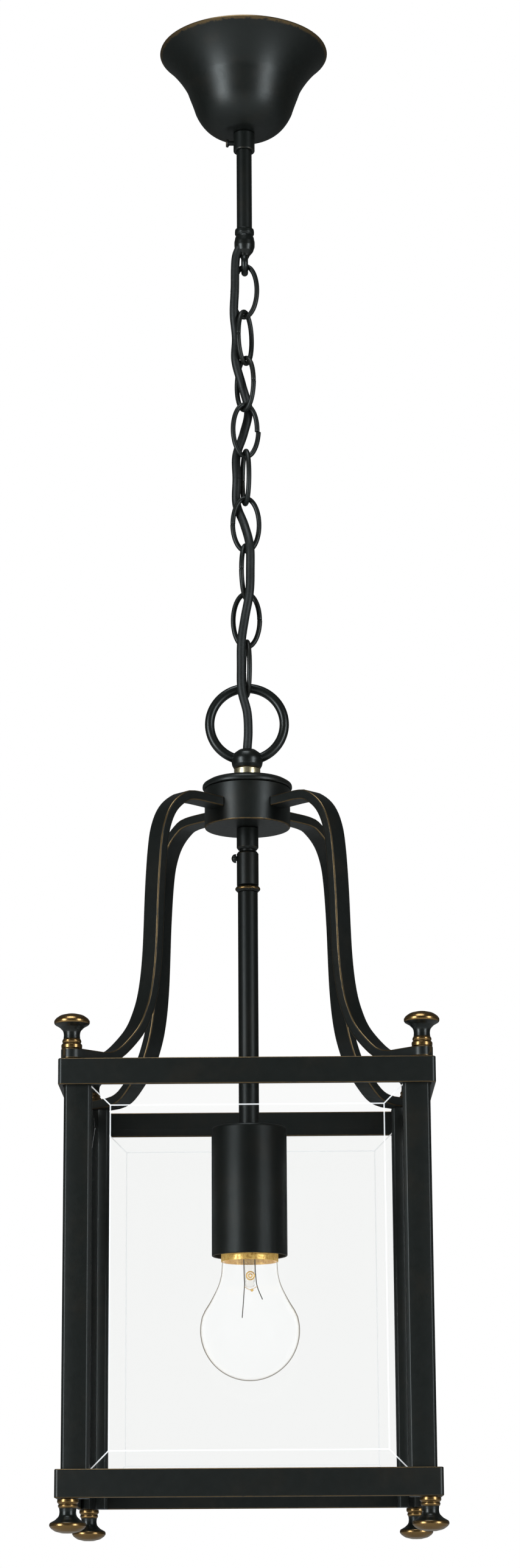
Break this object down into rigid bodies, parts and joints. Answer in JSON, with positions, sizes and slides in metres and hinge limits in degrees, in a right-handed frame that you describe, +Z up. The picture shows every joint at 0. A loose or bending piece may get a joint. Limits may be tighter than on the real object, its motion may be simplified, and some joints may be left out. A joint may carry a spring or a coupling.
{
  "type": "hanging lantern",
  "caption": "Square glazed hanging lantern with one bulb in a deep cup, four bent arms on a turned hub, a chain with a black flex and a bell-shaped ceiling canopy.",
  "frame": {"origin": "on the ceiling plane, on the axis of the stem, chain and rod", "axes": "+Z up, +X and +Y across the faces of the square frame; the front pane faces -Y"},
  "size_m": [0.2248, 0.2248, 0.962],
  "materials": {
    "bronze": "satin near-black bronze, rubbed to gold on the edges",
    "chain_bronze": "satin near-black bronze wire",
    "aged_brass": "aged brass, darker in the hollows",
    "zinc_steel": "zinc-plated steel",
    "terminal_plastic": "moulded, off-white",
    "porcelain": "glazed ceramic, cream",
    "flex": "black sheath, satin",
    "lamp_cap": "rolled metal cap",
    "pane_glass": "clear bevelled panes",
    "bulb_glass": "clear blown glass"
  },
  "bodies": {
    "ceiling_part": {"ceiling_plate": "zinc_steel", "stem_bridge": "zinc_steel", "stem_nut": "zinc_steel", "terminal_block": "terminal_plastic", "stem_tube": "bronze", "stem_eye": "bronze", "flex_stem": "flex"},
    "canopy_set": {"canopy": "bronze", "canopy_collar": "bronze"},
    "canopy_screw": {"canopy_thumb_screw": "bronze"},
    "link_1": {"chain_link_1": "chain_bronze"},
    "link_2": {"chain_link_2": "chain_bronze"},
    "link_3": {"chain_link_3": "chain_bronze"},
    "link_4": {"chain_link_4": "chain_bronze"},
    "link_5": {"chain_link_5": "chain_bronze", "flex_chain": "flex"},
    "link_6": {"chain_link_6": "chain_bronze"},
    "link_7": {"chain_link_7": "chain_bronze"},
    "link_8": {"chain_link_8": "chain_bronze"},
    "link_9": {"chain_link_9": "chain_bronze"},
    "lantern": {"hanging_ring": "bronze", "brass_collar": "aged_brass", "hub_lid": "bronze", "hub": "bronze", "hub_nipple": "zinc_steel", "hub_nut": "zinc_steel", "rod_sleeve_upper": "bronze", "rod_sleeve_lower": "bronze", "rod_bead": "bronze", "lamp_tube": "bronze", "lampholder_cup": "bronze", "cup_nut": "zinc_steel", "lampholder": "porcelain", "flex_rod": "flex", "top_band": "bronze", "bottom_band": "bronze", "arm_front_right": "bronze", "arm_back_right": "bronze", "arm_back_left": "bronze", "arm_front_left": "bronze", "post_front_right": "bronze", "post_back_right": "bronze", "post_back_left": "bronze", "post_front_left": "bronze", "top_finial_front_right": "aged_brass", "top_finial_back_right": "aged_brass", "top_finial_back_left": "aged_brass", "top_finial_front_left": "aged_brass", "foot_front_right": "aged_brass", "foot_back_right": "aged_brass", "foot_back_left": "aged_brass", "foot_front_left": "aged_brass", "glass_front": "pane_glass", "glass_right": "pane_glass", "glass_back": "pane_glass", "glass_left": "pane_glass"},
    "lock_screw": {"rod_lock_screw": "bronze"},
    "bulb": {"bulb_glass": "bulb_glass", "bulb_cap": "lamp_cap"}
  },
  "joints": [
    {"name": "canopy_slide", "type": "slide", "parent": "ceiling_part", "child": "canopy_set", "axis": [0, 0, 1], "range_m": [-0.05, 0]},
    {"name": "thumb_screw_turn", "type": "hinge", "parent": "canopy_set", "child": "canopy_screw", "pos_m": [-0.0105, 0, -0.0652], "axis": [1, 0, 0], "continuous": true},
    {"name": "chain_joint_1", "type": "hinge", "parent": "ceiling_part", "child": "link_1", "pos_m": [0, 0, -0.15695], "axis": [0, 1, 0], "range_deg": [-15, 15], "deforming": ["flex_chain"]},
    {"name": "chain_joint_2", "type": "hinge", "parent": "link_1", "child": "link_2", "pos_m": [0, 0, -0.18832], "axis": [0.9397, -0.342, 0], "range_deg": [-15, 15], "deforming": ["flex_chain"]},
    {"name": "chain_joint_3", "type": "hinge", "parent": "link_2", "child": "link_3", "pos_m": [0, 0, -0.22037], "axis": [0.5, 0.866, 0], "range_deg": [-15, 15], "deforming": ["flex_chain"]},
    {"name": "chain_joint_4", "type": "hinge", "parent": "link_3", "child": "link_4", "pos_m": [0, 0, -0.25243], "axis": [-0.6428, 0.766, 0], "range_deg": [-15, 15], "deforming": ["flex_chain"]},
    {"name": "chain_joint_5", "type": "hinge", "parent": "link_4", "child": "link_5", "pos_m": [0, 0, -0.28447], "axis": [-0.9397, -0.342, 0], "range_deg": [-15, 15], "deforming": ["flex_chain"]},
    {"name": "chain_joint_6", "type": "hinge", "parent": "link_5", "child": "link_6", "pos_m": [0, 0, -0.31653], "axis": [0.2588, -0.9659, 0], "range_deg": [-15, 15], "deforming": ["flex_chain"]},
    {"name": "chain_joint_7", "type": "hinge", "parent": "link_6", "child": "link_7", "pos_m": [0, 0, -0.34858], "axis": [0.9962, 0.0872, 0], "range_deg": [-15, 15], "deforming": ["flex_chain"]},
    {"name": "chain_joint_8", "type": "hinge", "parent": "link_7", "child": "link_8", "pos_m": [0, 0, -0.38062], "axis": [0.342, 0.9397, 0], "range_deg": [-15, 15], "deforming": ["flex_chain"]},
    {"name": "chain_joint_9", "type": "hinge", "parent": "link_8", "child": "link_9", "pos_m": [0, 0, -0.41268], "axis": [-0.9976, 0.0698, 0], "range_deg": [-15, 15], "deforming": ["flex_chain"]},
    {"name": "chain_joint_10", "type": "hinge", "parent": "link_9", "child": "lantern", "pos_m": [0, 0, -0.44472], "axis": [0.225, -0.9744, 0], "range_deg": [-15, 15], "deforming": ["flex_chain"]},
    {"name": "lock_screw_turn", "type": "hinge", "parent": "lantern", "child": "lock_screw", "pos_m": [-0.0071, 0, -0.5502], "axis": [1, 0, 0], "continuous": true},
    {"name": "bulb_turn", "type": "hinge", "parent": "lantern", "child": "bulb", "pos_m": [0, 0, -0.79], "axis": [0, 0, 1], "continuous": true}
  ]
}
